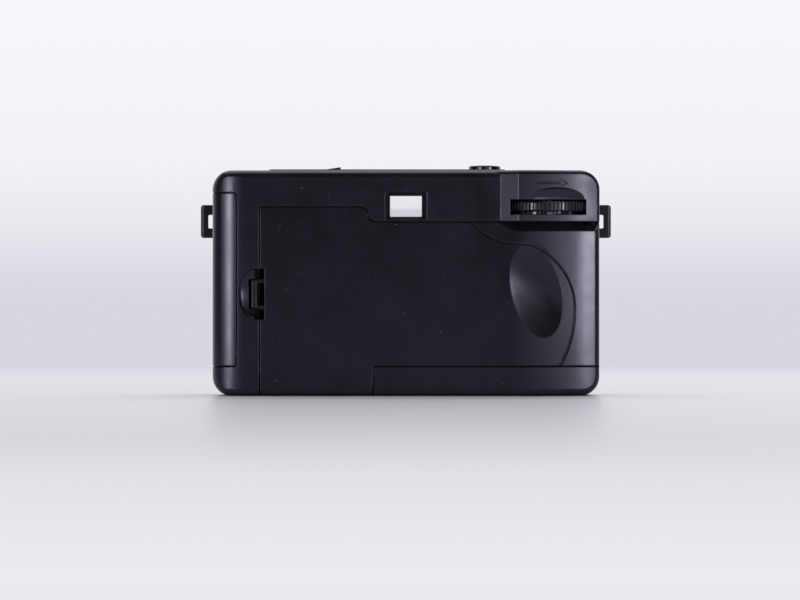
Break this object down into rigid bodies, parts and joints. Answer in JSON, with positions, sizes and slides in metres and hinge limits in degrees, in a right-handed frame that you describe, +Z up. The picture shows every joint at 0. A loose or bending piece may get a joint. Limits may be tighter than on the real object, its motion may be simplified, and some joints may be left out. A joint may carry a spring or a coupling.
{
  "type": "compact film camera",
  "caption": "Reusable compact 35 mm film camera with a hinged back, thumb wheel advance, rewind crank, built-in flash and a window viewfinder.",
  "frame": {"origin": "on the flat bottom, under the viewfinder, half way through the body's depth", "axes": "+X right as seen from the back, +Y towards the lens side, +Z up"},
  "size_m": [0.121, 0.0394, 0.0676],
  "materials": {
    "satin_black": "satin",
    "matte_black": "matte",
    "grained_black": "grained",
    "gloss_black": "gloss",
    "grey_plastic": "satin",
    "white_plastic": "matte",
    "steel": "bright",
    "mirror": "polished",
    "optic": "clear",
    "frosted": "frosted",
    "board": "satin",
    "lamp": "gloss",
    "copper": "enamelled"
  },
  "bodies": {
    "camera_body": {"front_shell": "satin_black", "rear_shell": "satin_black", "top_panel": "satin_black", "front_panel": "grained_black", "strap_lug_left": "satin_black", "strap_lug_right": "satin_black", "body_screws": "steel", "film_chassis": "matte_black", "light_box": "matte_black", "hinge_pin": "steel", "battery_holder": "matte_black", "battery_contact_plate": "steel", "battery_contact_spring": "steel", "viewfinder_eyepiece": "optic", "viewfinder_tunnel": "matte_black", "viewfinder_front_lens": "optic", "lens_barrel": "satin_black", "lens_front": "optic", "lens_rear": "optic", "aperture_plate": "matte_black", "shutter_plate": "matte_black", "flash_reflector": "mirror", "flash_tube": "optic", "flash_diffuser": "frosted", "flash_board": "board", "flash_capacitor": "gloss_black", "flash_transformer": "copper", "ready_lamp": "lamp", "pawl_spring": "steel", "counter_window": "optic", "button_spring": "steel", "rewind_dish": "satin_black", "rewind_release_spring": "steel"},
    "door": {"back_door": "satin_black", "pressure_plate": "matte_black", "pressure_spring": "steel"},
    "latch": {"latch_slider": "satin_black"},
    "battery_door": {"battery_cover": "satin_black"},
    "winder": {"advance_wheel": "satin_black", "take_up_spool": "grey_plastic"},
    "sprocket": {"sprocket_wheel": "grey_plastic"},
    "counter": {"counter_dial": "white_plastic"},
    "button": {"shutter_button": "gloss_black"},
    "lever": {"release_lever": "grey_plastic"},
    "blade": {"shutter_blade": "matte_black"},
    "rewind_lifter": {"rewind_collar": "grey_plastic"},
    "rewind": {"rewind_knob": "satin_black", "rewind_fork": "grey_plastic", "crank_pin": "steel"},
    "crank": {"crank_arm": "grey_plastic"},
    "handle": {"crank_handle": "satin_black"},
    "switch": {"flash_switch": "satin_black"},
    "release": {"rewind_release_button": "satin_black"}
  },
  "joints": [
    {"name": "door_hinge", "type": "hinge", "parent": "camera_body", "child": "door", "pos_m": [0.0545, -0.00991, 0.03], "axis": [0, 0, 1], "range_deg": [0, 112]},
    {"name": "latch_slide", "type": "slide", "parent": "door", "child": "latch", "axis": [1, 0, 0], "range_m": [0, 0.002], "stiffness_N_per_m": 200, "springref_m": -0.001},
    {"name": "battery_cover_hinge", "type": "hinge", "parent": "camera_body", "child": "battery_door", "pos_m": [-0.0553, 0.0015, 0.034], "axis": [0, 0, -1], "range_deg": [0, 90]},
    {"name": "advance_spin", "type": "hinge", "parent": "camera_body", "child": "winder", "pos_m": [0.0412, -0.0042, 0.055], "axis": [0, 0, 1], "continuous": true},
    {"name": "sprocket_spin", "type": "hinge", "parent": "camera_body", "child": "sprocket", "pos_m": [0.0241, -0.00555, 0.043], "axis": [0, 0, 1], "continuous": true},
    {"name": "counter_spin", "type": "hinge", "parent": "camera_body", "child": "counter", "pos_m": [0.016, -0.0035, 0.0614], "axis": [0, 0, 1], "continuous": true},
    {"name": "button_press", "type": "slide", "parent": "camera_body", "child": "button", "axis": [0, 0, -1], "range_m": [0, 0.0012], "stiffness_N_per_m": 400, "springref_m": -0.0008, "deforming": ["button_spring"]},
    {"name": "lever_rock", "type": "hinge", "parent": "camera_body", "child": "lever", "pos_m": [0.016, 0.002, 0.0565], "axis": [0, 1, 0], "range_deg": [0, 9.6]},
    {"name": "blade_swing", "type": "hinge", "parent": "camera_body", "child": "blade", "pos_m": [0.00996, 0.01085, 0.03385], "axis": [0, -1, 0], "range_deg": [0, 60], "stiffness_Nm_per_rad": 0.0002, "springref_deg": -5.73},
    {"name": "rewind_lift", "type": "slide", "parent": "camera_body", "child": "rewind_lifter", "axis": [0, 0, 1], "range_m": [0, 0.006]},
    {"name": "rewind_spin", "type": "hinge", "parent": "rewind_lifter", "child": "rewind", "pos_m": [-0.03005, -0.00065, 0.062], "axis": [0, 0, 1], "continuous": true},
    {"name": "crank_fold", "type": "hinge", "parent": "rewind", "child": "crank", "pos_m": [-0.03505, -0.00065, 0.0644], "axis": [0, -1, 0], "range_deg": [0, 140]},
    {"name": "crank_handle_spin", "type": "hinge", "parent": "crank", "child": "handle", "pos_m": [-0.02405, -0.00065, 0.063], "axis": [0, 0, 1], "continuous": true},
    {"name": "flash_switch_slide", "type": "slide", "parent": "camera_body", "child": "switch", "axis": [1, 0, 0], "range_m": [0, 0.004]},
    {"name": "rewind_release_press", "type": "slide", "parent": "camera_body", "child": "release", "axis": [0, 0, 1], "range_m": [0, 0.0015], "stiffness_N_per_m": 200, "springref_m": -0.001, "deforming": ["rewind_release_spring"]}
  ],
  "couplings": [
    {"joint": "sprocket_spin", "follows": "advance_spin", "ratio": 0.78},
    {"joint": "counter_spin", "follows": "advance_spin", "ratio": -0.0195},
    {"joint": "lever_rock", "follows": "button_press", "rad_per_m": 138.9}
  ]
}
